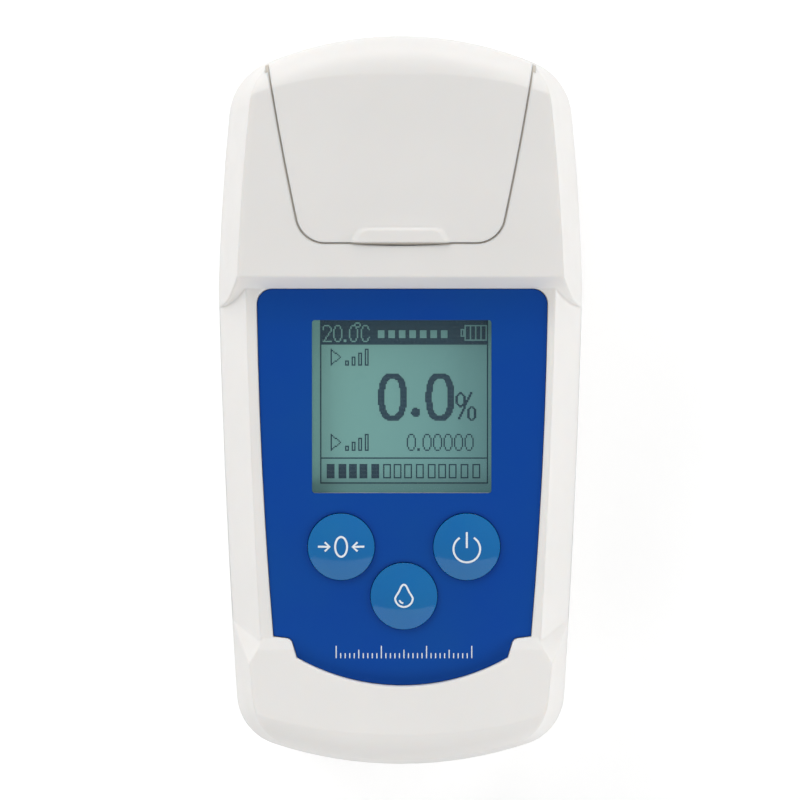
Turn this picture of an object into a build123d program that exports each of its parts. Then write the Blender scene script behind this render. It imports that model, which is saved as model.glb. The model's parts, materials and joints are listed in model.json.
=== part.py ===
from build123d import *
import os
from math import sin, cos, tan, pi, radians, sqrt

# A pocket refractometer lies on its back, in millimetres. X runs across it, Y runs
# towards the lid end and Z runs out of its face. The feet stand on Z = 0.

# plan outline of the case
half_length = 65.0
half_width = 32.45
widest_y = 20.0
lid_end_half_width = 29.9
key_end_half_width = 28.8
lid_end_radius = 62.0
key_end_radius = 72.0
lid_end_corner = 11.0
key_end_corner = 9.5
side_bow = 0.4

# case heights and leans
foot_stand = 1.0
split_z = 15.0
wall = 2.2
back_lean = 12.0
back_round = 4.0
round_steps = 4
least_corner = 1.5
panel_height = 28.6
panel_tilt = 3.2
roof_end_z = 40.2
roof_tilt = 4.65
panel_side_lean = 7.4
head_side_lean = 4.2
chin_side_lean = 3.6
end_lean = 1.6
head_depth = 42.7
head_front_z = 34.0
head_tilt = 8.2
head_top_z = 39.0
end_round = 7.0
step_crest = 1.2
step_mid_back = 2.1
step_mid_z = 31.0
step_low_back = 5.8
step_rise = 3.0

# chin around the key end
chin_top_z = 28.9
chin_top_inset = 5.0
chin_tilt = 6.0
chin_round = 6.0
chin_edge_inset = 23.0
chin_ramp_angle = 24.0
chin_flank_ahead = 4.0
chin_flank_lean = 0.43
chin_flank_turn = 35.0

# front label
label_half_top = 25.65
label_half_bottom = 22.75
label_head_gap = 2.7
label_chin_gap = 0.15
label_fit = 0.1
label_bow = 0.55
label_shift = 0.3
label_ear_x = 19.6
label_ear_drop = 0.4
label_ear_round = 1.2
label_top_round = 2.7
label_arc_x = 18.6
label_arc_drop = 3.8
label_low_drop = 8.7
label_recess = 0.8
label_thick = 0.5

# display
window_half_x = 15.85
window_shift = 0.2
window_head_gap = 8.2
window_key_gap = 3.6
window_corner = 0.5
window_thick = 1.3
window_lap = 1.2
window_fit = 0.05
window_show = 0.1
glass_lap = 0.8
glass_thick = 2.2
bezel_wall = 1.2
bezel_face = 0.4

# keys
key_radius = 5.9
key_gap = 0.08
key_dome = 1.3
key_flange = 1.0
key_flange_thick = 0.8
key_travel = 0.5
key_center_x = 0.6
key_pitch = 22.2
key_row_inset = 39.0
key_low_step = 8.75
key_rim = 0.2
key_wall = 1.2
key_stem_radius = 1.7
key_stem_gap = 0.1
switch_side = 6.0
switch_height = 3.4
switch_plunger_radius = 1.6
switch_plunger_height = 0.9

# circuit board
board_top = -8.0
board_thick = 1.6
board_half_x = 23.5
board_end_inset = 19.0
board_head_gap = 2.3
board_post_x = 21.2
board_post_low_in = 4.5
board_post_high_in = 3.5
post_radius = 2.6
post_root = 0.5
hole_room = 0.1
board_screw_radius = 1.0
board_screw_head_radius = 1.9
board_screw_head = 1.3
board_screw_length = 5.0
chip_side = 10.0
chip_thick = 1.4
chip_step = 4.0

# lid and its pocket
deck_z = 29.7
deck_thick = 2.2
lid_gap = 0.3
sill_depth = 5.4
lid_front_half = 17.3
lid_rear_inset = 4.6
lid_rear_half = 23.4
lid_bow = 0.3
lid_corner = 5.0
lid_wall = 2.0
lid_rest_gap = 0.2
lid_rib_x = 16.5
lid_rib_half = 0.5
lid_rib_length = 15.0
lid_sink = 0.5
thumb_lip_half = 9.0
thumb_lip_slant = 1.4
thumb_lip_depth = 2.7
thumb_lip_rise = 0.5
thumb_lip_ramp = 1.1
thumb_lip_round = 2.0
thumb_lip_sink = 0.3
notch_half = 9.4
notch_depth = 0.3
hinge_inset = 5.2
hinge_z = 31.5
trough_radius = 5.8
lid_tail_radius = 5.5
trough_lip_z = 27.2
pin_radius = 1.0
pin_half = 14.4
knuckle_radius = 2.2
lug_in_x = 6.0
lug_out_x = 10.0
knuckle_out_x = 14.4
knuckle_gap = 0.3
lug_web_half = 1.5
lug_root = 1.5
lug_root_thick = 2.0
lug_slot_back = 0.9
pin_fit = 0.04

# sample well
well_inset = 23.8
flange_radius = 11.0
flange_thick = 1.0
flange_proud = 0.2
flange_gap = 0.15
well_mouth_radius = 8.8
well_shell = 0.9
well_neck_radius = 4.6
well_step = 0.8
well_base_radius = 7.4
well_base_z = 24.6
well_base_thick = 1.0
seal_outer = 10.5
seal_inner = 9.1
seal_height = 1.5
boss_wall_extra = 0.3

# optics under the deck
block_half_x = 13.0
block_front = 12.2
block_back = 11.4
block_corner = 2.0
block_low_z = 18.2
well_clear = 0.2
prism_top_half = 4.0
prism_half_x = 4.0
prism_height = 4.8
prism_slant = 1.6
prism_flange = 1.2
lamp_radius = 2.5
lamp_rim_radius = 2.9
lamp_rim = 1.0
lamp_z = 21.4
lamp_length = 5.4
lamp_tip = 1.5
lens_radius = 2.8
lens_thick = 2.0
lens_back = 7.8
light_bore = 1.9
sensor_board_half_x = 11.0
sensor_board_low_z = 17.4
sensor_board_high_z = 24.4
sensor_board_thick = 1.0
sensor_half_x = 4.2
sensor_half_z = 2.2
sensor_depth = 1.1
probe_radius = 0.8
probe_x = 5.9
probe_length = 3.0
optics_post_x = 10.6
optics_post_front = 9.4
optics_post_back = 8.2
optics_screw_radius = 1.0
optics_screw_head_radius = 1.8
optics_screw_head = 1.2
optics_screw_bite = 1.5
screw_tip_room = 0.1
pocket_in_x = 7.6
pocket_out_x = 11.4
pocket_half_y = 5.0
pocket_deep = 3.0

# battery bay in the rear shell
cell_radius = 5.25
cell_length = 44.5
cell_nub_radius = 2.75
cell_nub = 1.0
cell_pitch = 11.0
cell_z = 8.7
bay_half_x = 11.4
bay_inset = 9.6
bay_clear = 0.1
bay_roof = 1.2
bay_wall = 1.4
contact_thick = 0.4
contact_half_x = 4.2
contact_low_z = 6.0
contact_high_z = 12.4
spring_length = 4.0
spring_radius = 2.6
spring_wire = 0.35
spring_turns = 3.0
spring_wire_sides = 4
back_wall = 2.4
door_gap = 0.15
door_half_x = 13.6
door_thick = 1.3
door_tab_x = 8.0
door_tab_half = 2.0
door_tab_reach = 1.6
door_tab_high = 1.0
door_rib_count = 6
door_rib_pitch = 1.6
door_rib_width = 0.8
door_rib_deep = 0.5
door_ledge = 1.2
door_corner = 0.8
door_tab_root = 0.8
door_tab_gap = 0.1
door_slot_room = 0.3
door_slot_high = 1.6
door_slot_back = 2.4
door_slot_ahead = 1.0
door_rib_half = 6.0
door_rib_start = 5.0
cell_rib_half = 0.6
cell_rib_inset = 6.0
cell_rib_gap = 0.05

# fastenings, gasket and feet
screw_x = 24.4
screw_high_inset = 21.0
screw_low_inset = 14.4
screw_low_x = 21.4
screw_radius = 1.3
screw_head_radius = 2.5
screw_head = 1.6
screw_bite = 6.0
screw_seat = 1.4
screw_slot_width = 0.6
screw_slot_deep = 0.7
column_radius = 3.6
boss_radius = 3.2
boss_height = 8.0
gusset_reach = 4.5
gusset_half = 0.8
gusset_foot = 1.0
foot_radius = 3.5
foot_recess = 0.8
foot_x = 17.0
foot_high_inset = 13.0
foot_low_x = 20.3
foot_low_inset = 32.0
gasket_width = 0.9
gasket_deep = 0.8

# ribs across the floor under the optics
floor_rib_count = 4
floor_rib_pitch = 10.0
floor_rib_inset = 15.0
floor_rib_half_x = 19.0
floor_rib_half = 0.6
floor_rib_high = 3.0
floor_sink = 0.5

# flat cable
cable_half_x = 4.0
cable_thick = 0.3
cable_low_z = 16.9
cable_drop = 3.4
cable_board_lap = 6.0
cable_board_slack = 1.0
cable_lead = 4.0

LOW = (Align.CENTER, Align.CENTER, Align.MIN)
HIGH = (Align.CENTER, Align.CENTER, Align.MAX)
BIG = 200.0
SIDES = (-1, 1)

# heights worked out from the sizes
well_top_z = deck_z + flange_proud
seat_z = deck_z - deck_thick
floor_z = foot_stand + back_wall
screw_seat_z = foot_stand + screw_head + screw_seat
roof_height = roof_end_z - half_length * tan(radians(roof_tilt))

# places along the case, measured from its lid end
head_front_y = half_length - head_depth
lid_front_y = head_front_y + sill_depth
lid_rear_y = half_length - lid_rear_inset
hinge_y = half_length - hinge_inset
well_y = half_length - well_inset
block_low_y = well_y - block_front
block_high_y = well_y + block_back
lens_y = well_y + lens_back
label_top_y = head_front_y - label_head_gap
window_high_y = head_front_y - window_head_gap
board_high_y = head_front_y - board_head_gap

# places along the case, measured from its key end
chin_edge_y = chin_edge_inset - half_length
chin_flank_low_y = chin_edge_y + chin_flank_ahead
label_bottom_y = chin_edge_y + label_chin_gap
key_row_y = key_row_inset - half_length
key_low_y = key_row_y - key_low_step
window_low_y = key_row_y + key_radius + window_key_gap
board_low_y = board_end_inset - half_length
bay_low_y = bay_inset - half_length
bay_high_y = bay_low_y + cell_length + spring_length + 2 * contact_thick
door_low_y = bay_low_y - bay_wall - door_ledge
door_high_y = bay_high_y + bay_wall + door_ledge


def tilted(height, tilt, y=0.0):
    lean = radians(tilt)
    return Plane(origin=(0, y, height), x_dir=(1, 0, 0), z_dir=(0, -sin(lean), cos(lean)))


panel = tilted(panel_height, panel_tilt)
face = tilted(head_front_z, head_tilt, head_front_y)


def span(x0, x1, y0, y1, z0, z1):
    middle = ((x0 + x1) / 2, (y0 + y1) / 2, (z0 + z1) / 2)
    return Pos(*middle) * Box(abs(x1 - x0), y1 - y0, z1 - z0)


def rod(radius, z0, z1, x=0.0, y=0.0):
    return Pos(x, y, z0) * Cylinder(radius, z1 - z0, align=LOW)


def bar(radius, x0, x1, y, z):
    return Pos(x0, y, z) * Rot(0, 90, 0) * Cylinder(radius, x1 - x0, align=LOW)


def bore_y(radius, y0, y1, x, z):
    return Pos(x, y0, z) * Rot(-90, 0, 0) * Cylinder(radius, y1 - y0, align=LOW)


def above(plane, drop=0.0):
    return plane * Pos(0, 0, -drop) * Box(BIG, BIG, BIG / 2, align=LOW)


def group(pieces):
    return Compound(children=list(pieces))


def crown(x, radius):
    return radius - sqrt(radius * radius - x * x)


def outline(side, end):
    top = half_length - end
    bottom = end - half_length
    x_top = lid_end_half_width - side
    x_wide = half_width - side
    x_low = key_end_half_width - side
    y_top = top - crown(x_top, lid_end_radius)
    y_low = bottom + crown(x_low, key_end_radius)
    upper_middle = ((x_top + x_wide) / 2 + side_bow, (y_top + widest_y) / 2)
    lower_middle = ((x_low + x_wide) / 2 + side_bow, (y_low + widest_y) / 2)
    upper = ThreePointArc((x_top, y_top), upper_middle, (x_wide, widest_y))
    lower = ThreePointArc((x_wide, widest_y), lower_middle, (x_low, y_low))
    flanks = [upper, lower, upper.mirror(Plane.YZ), lower.mirror(Plane.YZ)]
    lid_end = ThreePointArc((-x_top, y_top), (0, top), (x_top, y_top))
    key_end = ThreePointArc((-x_low, y_low), (0, bottom), (x_low, y_low))
    shape = make_face([lid_end, key_end] + flanks)
    shrink = min(side, end)
    lid_corners = shape.vertices().group_by(Axis.Y)[-1]
    shape = fillet(lid_corners, max(lid_end_corner - shrink, least_corner))
    key_corners = shape.vertices().group_by(Axis.Y)[0]
    return fillet(key_corners, max(key_end_corner - shrink, least_corner))


def upper_form(side_lean, inset):
    base = Pos(0, 0, split_z) * outline(inset, inset)
    roof = tilted(roof_height, roof_tilt) * outline(inset + side_lean, inset + end_lean)
    return loft([base, roof], ruled=True)


def rear_form(inset, floor_z, roll):
    # leans inwards from the split down to a rounded edge around the back
    lean = radians(back_lean)
    start_in = (split_z - floor_z - roll + roll * sin(lean)) * tan(lean)
    sections = [Pos(0, 0, split_z) * outline(inset, inset)]
    for step in range(round_steps + 1):
        turn = lean + (pi / 2 - lean) * step / round_steps
        shrink = inset + start_in + roll * (cos(lean) - cos(turn))
        level = floor_z + roll * (1 - sin(turn))
        sections.append(Pos(0, 0, level) * outline(shrink, shrink))
    return loft(sections, ruled=True)


def end_rounding(sign, plan_radius, inset, top_z, roll):
    # a ring around the plan curve's centre that rounds the top edge of one end
    reach = plan_radius - inset - end_lean / 2
    near = reach - roll
    middle = roll * sqrt(0.5)
    level = top_z - inset
    arc = ThreePointArc(
        (reach, level - roll), (near + middle, level - roll + middle), (near, level)
    )
    far = reach + BIG / 4
    outer = Polyline(
        (near, level), (near - roll, level), (near - roll, BIG / 2), (far, BIG / 2),
        (far, level - roll), (reach, level - roll),
    )
    centre_y = sign * (half_length - plan_radius)
    section = Pos(0, centre_y, 0) * (Plane.XZ * make_face([arc, outer]))
    return revolve(section, Axis((0, centre_y, 0), (0, 0, 1)), 360)


def lower_body(inset):
    body = upper_form(panel_side_lean, inset) - above(panel, inset)
    return body - end_rounding(-1, key_end_radius, inset, chin_top_z, chin_round)


def step_cutter(inset):
    rise = head_front_z + step_rise
    crest_y = head_front_y + inset + step_crest
    low_y = head_front_y + inset - step_low_back
    middle = (head_front_y + inset - step_mid_back, step_mid_z)
    curve = Spline((crest_y, rise), middle, (low_y, split_z))
    edge = Polyline(
        (low_y, split_z), (low_y, 0), (-BIG / 2, 0), (-BIG / 2, BIG / 2), (crest_y, BIG / 2),
        (crest_y, rise),
    )
    return extrude(Plane.YZ * make_face([curve, edge]), amount=BIG / 4, both=True)


def head_body(inset):
    body = upper_form(head_side_lean, inset) - above(face, inset) - step_cutter(inset)
    return body - end_rounding(1, lid_end_radius, inset, head_top_z, end_round)


def chin_body(inset):
    top = tilted(chin_top_z, -chin_tilt, chin_top_inset - half_length)
    body = upper_form(chin_side_lean, inset) - above(top, inset)
    body -= end_rounding(-1, key_end_radius, inset, chin_top_z, chin_round)
    edge_z = panel_height + chin_edge_y * sin(radians(panel_tilt))
    ramp = Plane(
        origin=(0, chin_edge_y - inset, edge_z),
        x_dir=(1, 0, 0),
        z_dir=(0, sin(radians(chin_ramp_angle)), cos(radians(chin_ramp_angle))),
    )
    body -= above(ramp)
    flank_x = key_end_half_width + side_bow - inset
    rise = edge_z - split_z
    for side in SIDES:
        along = Vector(-side * rise * chin_flank_lean, chin_edge_y - chin_flank_low_y, rise)
        turn = radians(chin_flank_turn)
        out = Vector(side * sin(turn), -cos(turn), 0)
        normal = along.cross(out) * side
        start = (side * flank_x, chin_flank_low_y - inset, split_z)
        body -= above(Plane(origin=start, x_dir=(out.X, out.Y, 0), z_dir=normal))
    return body & span(-BIG / 4, BIG / 4, -BIG / 2, chin_flank_low_y, 0, BIG / 4)


def lid_plan(grow):
    front_y = lid_front_y - grow
    x_front = lid_front_half + grow
    x_rear = lid_rear_half + grow
    middle = ((x_front + x_rear) / 2 + lid_bow, (front_y + lid_rear_y) / 2)
    side = ThreePointArc((x_front, front_y), middle, (x_rear, lid_rear_y))
    far = half_length + end_round
    tail = Polyline((x_rear, lid_rear_y), (x_rear, far), (-x_rear, far), (-x_rear, lid_rear_y))
    front = Line((-x_front, front_y), (x_front, front_y))
    shape = make_face([side, side.mirror(Plane.YZ), tail, front])
    return fillet(shape.vertices().group_by(Axis.Y)[0], lid_corner + grow)


def lid_prism(grow, z0, z1):
    return extrude(Pos(0, 0, z0) * lid_plan(grow), amount=z1 - z0)


def label_plan(grow):
    top_y = label_top_y + grow
    x_top = label_half_top + grow
    x_low = label_half_bottom + grow
    low_y = label_bottom_y - grow
    ear_x = label_ear_x + grow
    arc_x = label_arc_x + grow
    arc_y = label_bottom_y - label_arc_drop
    middle = ((x_top + x_low) / 2 + label_bow, (top_y + low_y) / 2)
    side = ThreePointArc((x_top, top_y), middle, (x_low, low_y))
    ear = Polyline((x_low, low_y), (ear_x, low_y - label_ear_drop), (arc_x, arc_y))
    edges = [side, ear, side.mirror(Plane.YZ), ear.mirror(Plane.YZ)]
    edges.append(Line((-x_top, top_y), (x_top, top_y)))
    middle_low = (0, low_y - label_low_drop)
    edges.append(ThreePointArc((-arc_x, arc_y), middle_low, (arc_x, arc_y)))
    shape = make_face(edges)
    shape = fillet(shape.vertices().group_by(Axis.Y)[-1], label_top_round)
    ears = shape.vertices().filter_by(lambda v: abs(abs(v.X) - ear_x) < 0.01)
    return Pos(label_shift, 0) * fillet(ears, label_ear_round)


def window_plan(grow):
    high = window_high_y + grow
    low = window_low_y - grow
    shape = Pos(window_shift, (high + low) / 2) * Rectangle(
        2 * (window_half_x + grow), high - low
    )
    return fillet(shape.vertices(), window_corner)


def slab(plan, w0, w1):
    return panel * Pos(0, 0, w0) * extrude(plan, amount=w1 - w0)


key_spots = {
    "zero_button": (key_center_x - key_pitch / 2, key_row_y),
    "power_button": (key_center_x + key_pitch / 2, key_row_y),
    "meas_button": (key_center_x, key_low_y),
}
board_post_rows = (board_low_y + board_post_low_in, board_high_y - board_post_high_in)
board_posts = [(side * board_post_x, y) for side in SIDES for y in board_post_rows]
optics_post_rows = (well_y - optics_post_front, well_y + optics_post_back)
optics_posts = [(side * optics_post_x, y) for side in SIDES for y in optics_post_rows]
case_posts = [(side * screw_x, half_length - screw_high_inset) for side in SIDES]
case_posts += [(side * screw_low_x, screw_low_inset - half_length) for side in SIDES]
feet_spots = [(side * foot_x, half_length - foot_high_inset) for side in SIDES]
feet_spots += [(side * foot_low_x, foot_low_inset - half_length) for side in SIDES]

label_floor = -label_recess
window_low_w = label_floor - window_thick
shell_under = -wall - label_recess
flange_top = shell_under
glass_top = shell_under - bezel_face
key_bore = key_radius + key_gap
parts = {}


def front_shell():
    outer = lower_body(0) + head_body(0) + chin_body(0)
    deep = lid_prism(lid_gap + wall, seat_z, BIG / 4)
    sill_low_y = head_front_y - step_low_back
    sill = span(-lid_front_half, lid_front_half, sill_low_y, lid_front_y, seat_z, BIG / 4)
    trough_skin = bar(trough_radius + wall, -BIG / 4, BIG / 4, hinge_y, hinge_z)
    label_skin = slab(label_plan(wall), shell_under, BIG / 8)
    cavity = lower_body(wall) + head_body(wall) + chin_body(wall)
    cavity = cavity - deep - sill - trough_skin - label_skin
    shell = outer - cavity
    # posts for the board, the optics and the case screws
    for x, y in board_posts:
        shell += panel * rod(post_radius, board_top, shell_under + post_root, x, y)
    for x, y in case_posts:
        shell += rod(boss_radius, split_z, split_z + boss_height, x, y) & outer
        reach = gusset_reach if x > 0 else -gusset_reach
        shell += span(x, x + reach, y - gusset_half, y + gusset_half, split_z + gusset_foot,
                      split_z + boss_height) & outer
    # lid pocket, hinge trough and finger notch
    shell -= lid_prism(lid_gap, deck_z, BIG / 4)
    trough_half = lid_rear_half + lid_gap
    shell -= bar(trough_radius, -trough_half, trough_half, hinge_y, hinge_z)
    shell -= span(-trough_half, trough_half, hinge_y, BIG / 2, trough_lip_z, BIG / 4)
    notch_y = lid_front_y - lid_gap
    notch = make_face([
        ThreePointArc((-notch_half, notch_y), (0, notch_y - notch_depth), (notch_half, notch_y)),
        Polyline((-notch_half, notch_y), (0, lid_front_y), (notch_half, notch_y)),
    ])
    shell -= extrude(Pos(0, 0, deck_z) * notch, amount=BIG / 4)
    # hinge lugs
    for side in SIDES:
        low, high = sorted((side * lug_in_x, side * lug_out_x))
        lug = bar(knuckle_radius, low, high, hinge_y, hinge_z)
        root_y = hinge_y - trough_radius - lug_root
        lug += span(low, high, root_y, hinge_y, hinge_z - lug_web_half, hinge_z + lug_web_half)
        lug += span(low, high, root_y, root_y + lug_root_thick, deck_z - post_root, hinge_z)
        shell += lug
    shell -= bar(pin_radius, -lug_out_x - 1, lug_out_x + 1, hinge_y, hinge_z)
    # label recess, window and key openings
    shell -= slab(label_plan(label_fit), label_floor, BIG / 8)
    shell -= slab(window_plan(window_show), shell_under - 1, BIG / 8)
    shell -= slab(window_plan(window_lap + window_fit), window_low_w, BIG / 8)
    for x, y in key_spots.values():
        shell -= panel * rod(key_bore, shell_under - 1, 1.0, x, y)
    # seat for the sample well
    shell -= rod(flange_radius + flange_gap, well_top_z - flange_thick, BIG / 4, 0, well_y)
    shell -= rod(well_mouth_radius + well_shell + well_clear, seat_z - 1, BIG / 4, 0, well_y)
    # pilot holes
    for x, y in board_posts:
        shell -= panel * rod(board_screw_radius, board_top - hole_room,
                             board_top - board_thick + board_screw_length, x, y)
    for x, y in optics_posts:
        shell -= rod(optics_screw_radius, seat_z - hole_room, seat_z + optics_screw_bite, x, y)
    for x, y in case_posts:
        shell -= rod(screw_radius, split_z - hole_room, split_z + screw_bite, x, y)
    return shell


def key_piece(x, y):
    low = flange_top - key_flange_thick
    body = rod(key_radius, low, key_rim, x, y)
    dome_radius = (key_radius ** 2 + key_dome ** 2) / (2 * key_dome)
    ball = Pos(x, y, key_rim + key_dome - dome_radius) * Sphere(dome_radius)
    body += ball & rod(key_radius, key_rim, key_rim + key_dome, x, y)
    body += rod(key_radius + key_flange, low, flange_top, x, y)
    body -= rod(key_radius - key_wall, low - 1, key_rim - key_wall, x, y)
    tip = board_top + switch_height + switch_plunger_height + key_travel + key_stem_gap
    body += rod(key_stem_radius, tip, key_rim - key_wall, x, y)
    return panel * body


def thumb_lip():
    # a low trapezoid with ramped sides, level with the lid's front edge
    plans = []
    for level in (-thumb_lip_sink, thumb_lip_rise):
        inset = thumb_lip_ramp * level / thumb_lip_rise
        half = thumb_lip_half - inset
        depth = thumb_lip_depth - inset / 2
        plan = make_face(Polyline(
            (-half, 0), (half, 0), (half - thumb_lip_slant, depth),
            (thumb_lip_slant - half, depth), (-half, 0),
        ))
        plan = fillet(plan.vertices().group_by(Axis.Y)[-1], thumb_lip_round)
        plans.append(Pos(0, 0, level) * plan)
    front = (lid_front_y - head_front_y) / cos(radians(head_tilt))
    return face * Pos(0, front, 0) * loft(plans, ruled=True)


def lid_piece():
    outer = head_body(0) & lid_prism(0, deck_z + lid_rest_gap, BIG / 4)
    tail_box = span(-BIG / 8, BIG / 8, hinge_y - 1.0, BIG / 2, 0, deck_z + lid_rest_gap + lid_sink)
    tail = head_body(0) & lid_prism(0, split_z + 1, BIG / 4) & tail_box
    tail_rod = bar(lid_tail_radius, -BIG / 8, BIG / 8, hinge_y, hinge_z)
    near_box = span(-BIG / 8, BIG / 8, hinge_y - trough_radius - 2.0, BIG / 2, 0, hinge_z)
    body = (outer - near_box) + ((outer + tail) & near_box & tail_rod)
    inner = head_body(lid_wall) & lid_prism(-lid_wall, split_z, BIG / 4)
    body -= inner
    # ring that carries the light seal
    ring_low = well_top_z + seal_height
    ring = rod(seal_outer + boss_wall_extra, ring_low, BIG / 5, 0, well_y)
    ring -= rod(seal_inner - boss_wall_extra, 0, BIG / 4, 0, well_y)
    body += ring & head_body(lid_sink)
    # ribs inside the lid
    for side in SIDES:
        rib = span(
            side * lid_rib_x - lid_rib_half, side * lid_rib_x + lid_rib_half, well_y,
            well_y + lid_rib_length, hinge_z + lid_wall, BIG / 5,
        )
        body += rib & head_body(lid_sink)
    # knuckles
    for side in SIDES:
        low, high = sorted((side * (lug_out_x + knuckle_gap), side * knuckle_out_x))
        body += bar(knuckle_radius, low, high, hinge_y, hinge_z) & head_body(0)
        block = span(low, high, hinge_y - pin_radius, hinge_y + pin_radius, hinge_z, BIG / 5)
        body += block & head_body(lid_sink)
        slot_low, slot_high = sorted(
            (side * (lug_in_x - knuckle_gap), side * (lug_out_x + knuckle_gap))
        )
        body -= bar(knuckle_radius + knuckle_gap, slot_low, slot_high, hinge_y, hinge_z)
        # room for the lug's web as the lid swings up
        body -= span(
            slot_low, slot_high, hinge_y - trough_radius - lug_root,
            hinge_y + lug_web_half + lug_slot_back, split_z, hinge_z,
        )
    body -= bar(
        pin_radius + pin_fit, -pin_half - knuckle_gap, pin_half + knuckle_gap, hinge_y, hinge_z
    )
    return body + thumb_lip()


def sample_well_piece():
    inner = well_neck_radius - well_step
    neck_z = well_base_z + well_base_thick
    body_radius = well_mouth_radius + well_shell
    flange_low = well_top_z - flange_thick
    outer = Polyline(
        (inner, well_base_z), (well_base_radius, well_base_z), (body_radius, seat_z),
        (body_radius, flange_low), (flange_radius, flange_low), (flange_radius, well_top_z),
        (well_mouth_radius, well_top_z), (well_neck_radius, neck_z), (inner, neck_z),
        (inner, well_base_z),
    )
    section = Plane.XZ * make_face(outer)
    return Pos(0, well_y, 0) * revolve(section, Axis.Z, 360)


def prism_piece():
    low = prism_top_half - prism_slant
    high = prism_top_half + prism_flange
    section = Polyline(
        (-high, 0), (high, 0), (high, -prism_flange), (low, -prism_height),
        (-low, -prism_height), (-high, -prism_flange), (-high, 0),
    )
    body = extrude(Plane.YZ * make_face(section), amount=prism_half_x, both=True)
    return Pos(0, well_y, well_base_z) * body


def optics_block_piece():
    block = span(-block_half_x, block_half_x, block_low_y, block_high_y, block_low_z, seat_z)
    block = fillet(block.edges().filter_by(Axis.Z), block_corner)
    cone_top = well_mouth_radius + well_shell + well_clear
    cone_low = well_base_radius + well_clear
    cone = Pos(0, well_y, well_base_z) * Cone(cone_low, cone_top, seat_z - well_base_z, align=LOW)
    block -= cone
    # prism pocket, with its floor under the prism
    pocket_y = prism_top_half + prism_flange
    block -= span(
        -prism_half_x, prism_half_x, well_y - pocket_y, well_y + pocket_y,
        well_base_z - prism_height, well_base_z,
    )
    block -= bore_y(light_bore, block_low_y - 1, block_high_y + 1, 0, lamp_z)
    block -= bore_y(lamp_radius, block_low_y - 1, block_low_y + lamp_length, 0, lamp_z)
    block -= bore_y(lens_radius, lens_y, block_high_y + 1, 0, lamp_z)
    block -= span(
        -sensor_half_x, sensor_half_x, block_high_y - sensor_depth, block_high_y + 1,
        lamp_z - sensor_half_z, lamp_z + sensor_half_z,
    )
    block -= rod(probe_radius, block_low_z - 1, well_base_z + 1, probe_x, well_y)
    for x, y in optics_posts:
        block -= rod(optics_screw_radius + hole_room, block_low_z - 1, seat_z + 1, x, y)
    # lightening pockets from below
    for side in SIDES:
        block -= span(
            side * pocket_in_x, side * pocket_out_x, well_y - pocket_half_y,
            well_y + pocket_half_y, block_low_z - 1, block_low_z + pocket_deep,
        )
    return block


def optics_screw(x, y):
    tip = seat_z + optics_screw_bite - screw_tip_room
    shank = rod(optics_screw_radius, block_low_z, tip, x, y)
    return shank + rod(optics_screw_head_radius, block_low_z - optics_screw_head, block_low_z, x, y)


def rear_shell():
    skin = rear_form(0, foot_stand, back_round)
    shell = skin - rear_form(wall, floor_z, back_round - wall)
    # battery bay with the opening for its door
    bay_top = cell_z + cell_radius + bay_clear
    shell += skin & span(
        -bay_half_x - bay_wall, bay_half_x + bay_wall, bay_low_y - bay_wall,
        bay_high_y + bay_wall, floor_z - floor_sink, bay_top + bay_roof,
    )
    shell -= span(-bay_half_x, bay_half_x, bay_low_y, bay_high_y, 0, bay_top)
    shell -= span(
        -door_half_x - door_gap, door_half_x + door_gap, door_low_y - door_gap,
        door_high_y + door_gap, 0, foot_stand + door_thick,
    )
    for side in SIDES:
        x = side * door_tab_x
        half = door_tab_half + door_slot_room
        shell -= span(
            x - half, x + half, bay_high_y - door_slot_back,
            door_high_y + door_tab_reach + door_slot_ahead, foot_stand + door_thick,
            floor_z + door_tab_high + door_slot_high,
        )
    # screw columns, feet recesses and gasket groove
    for x, y in case_posts:
        shell += rod(column_radius, foot_stand + floor_sink, split_z, x, y) & skin
    for x, y in case_posts:
        shell -= rod(screw_radius + hole_room, 0, split_z + 1, x, y)
        shell -= rod(screw_head_radius + 2 * hole_room, 0, screw_seat_z, x, y)
    for x, y in feet_spots:
        shell -= rod(foot_radius, 0, foot_stand + foot_recess, x, y)
    shell -= gasket_ring(gasket_deep)
    for number in range(floor_rib_count):
        y = half_length - floor_rib_inset - number * floor_rib_pitch
        shell += skin & span(
            -floor_rib_half_x, floor_rib_half_x, y - floor_rib_half, y + floor_rib_half,
            floor_z - floor_sink, floor_z + floor_rib_high,
        )
    return shell


def gasket_ring(deep):
    middle = wall / 2
    outer = outline(middle - gasket_width / 2, middle - gasket_width / 2)
    inner = outline(middle + gasket_width / 2, middle + gasket_width / 2)
    return Pos(0, 0, split_z - deep) * extrude(outer - inner, amount=deep)


def case_screw(x, y):
    shank = rod(screw_radius, screw_seat_z, split_z + screw_bite - screw_tip_room, x, y)
    head_low = screw_seat_z - screw_head
    head = rod(screw_head_radius, head_low, screw_seat_z, x, y)
    for turn in (0, 90):
        slot = Box(screw_head_radius, screw_slot_width, 2 * screw_slot_deep)
        head -= Pos(x, y, head_low) * Rot(0, 0, turn) * slot
    return shank + head


def board_screw(x, y):
    under = board_top - board_thick
    shank = rod(board_screw_radius, under, under + board_screw_length - screw_tip_room, x, y)
    return panel * (shank + rod(board_screw_head_radius, under - board_screw_head, under, x, y))


def battery_cell(x, turned):
    low = bay_low_y + contact_thick + (0 if turned else spring_length)
    body = bore_y(cell_radius, low, low + cell_length - cell_nub, x, cell_z)
    nub = bore_y(cell_nub_radius, low + cell_length - cell_nub, low + cell_length, x, cell_z)
    cell = body + nub
    if turned:
        middle_y = low + cell_length / 2
        cell = Pos(x, middle_y, cell_z) * Rot(0, 0, 180) * Pos(-x, -middle_y, -cell_z) * cell
    return cell


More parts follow.
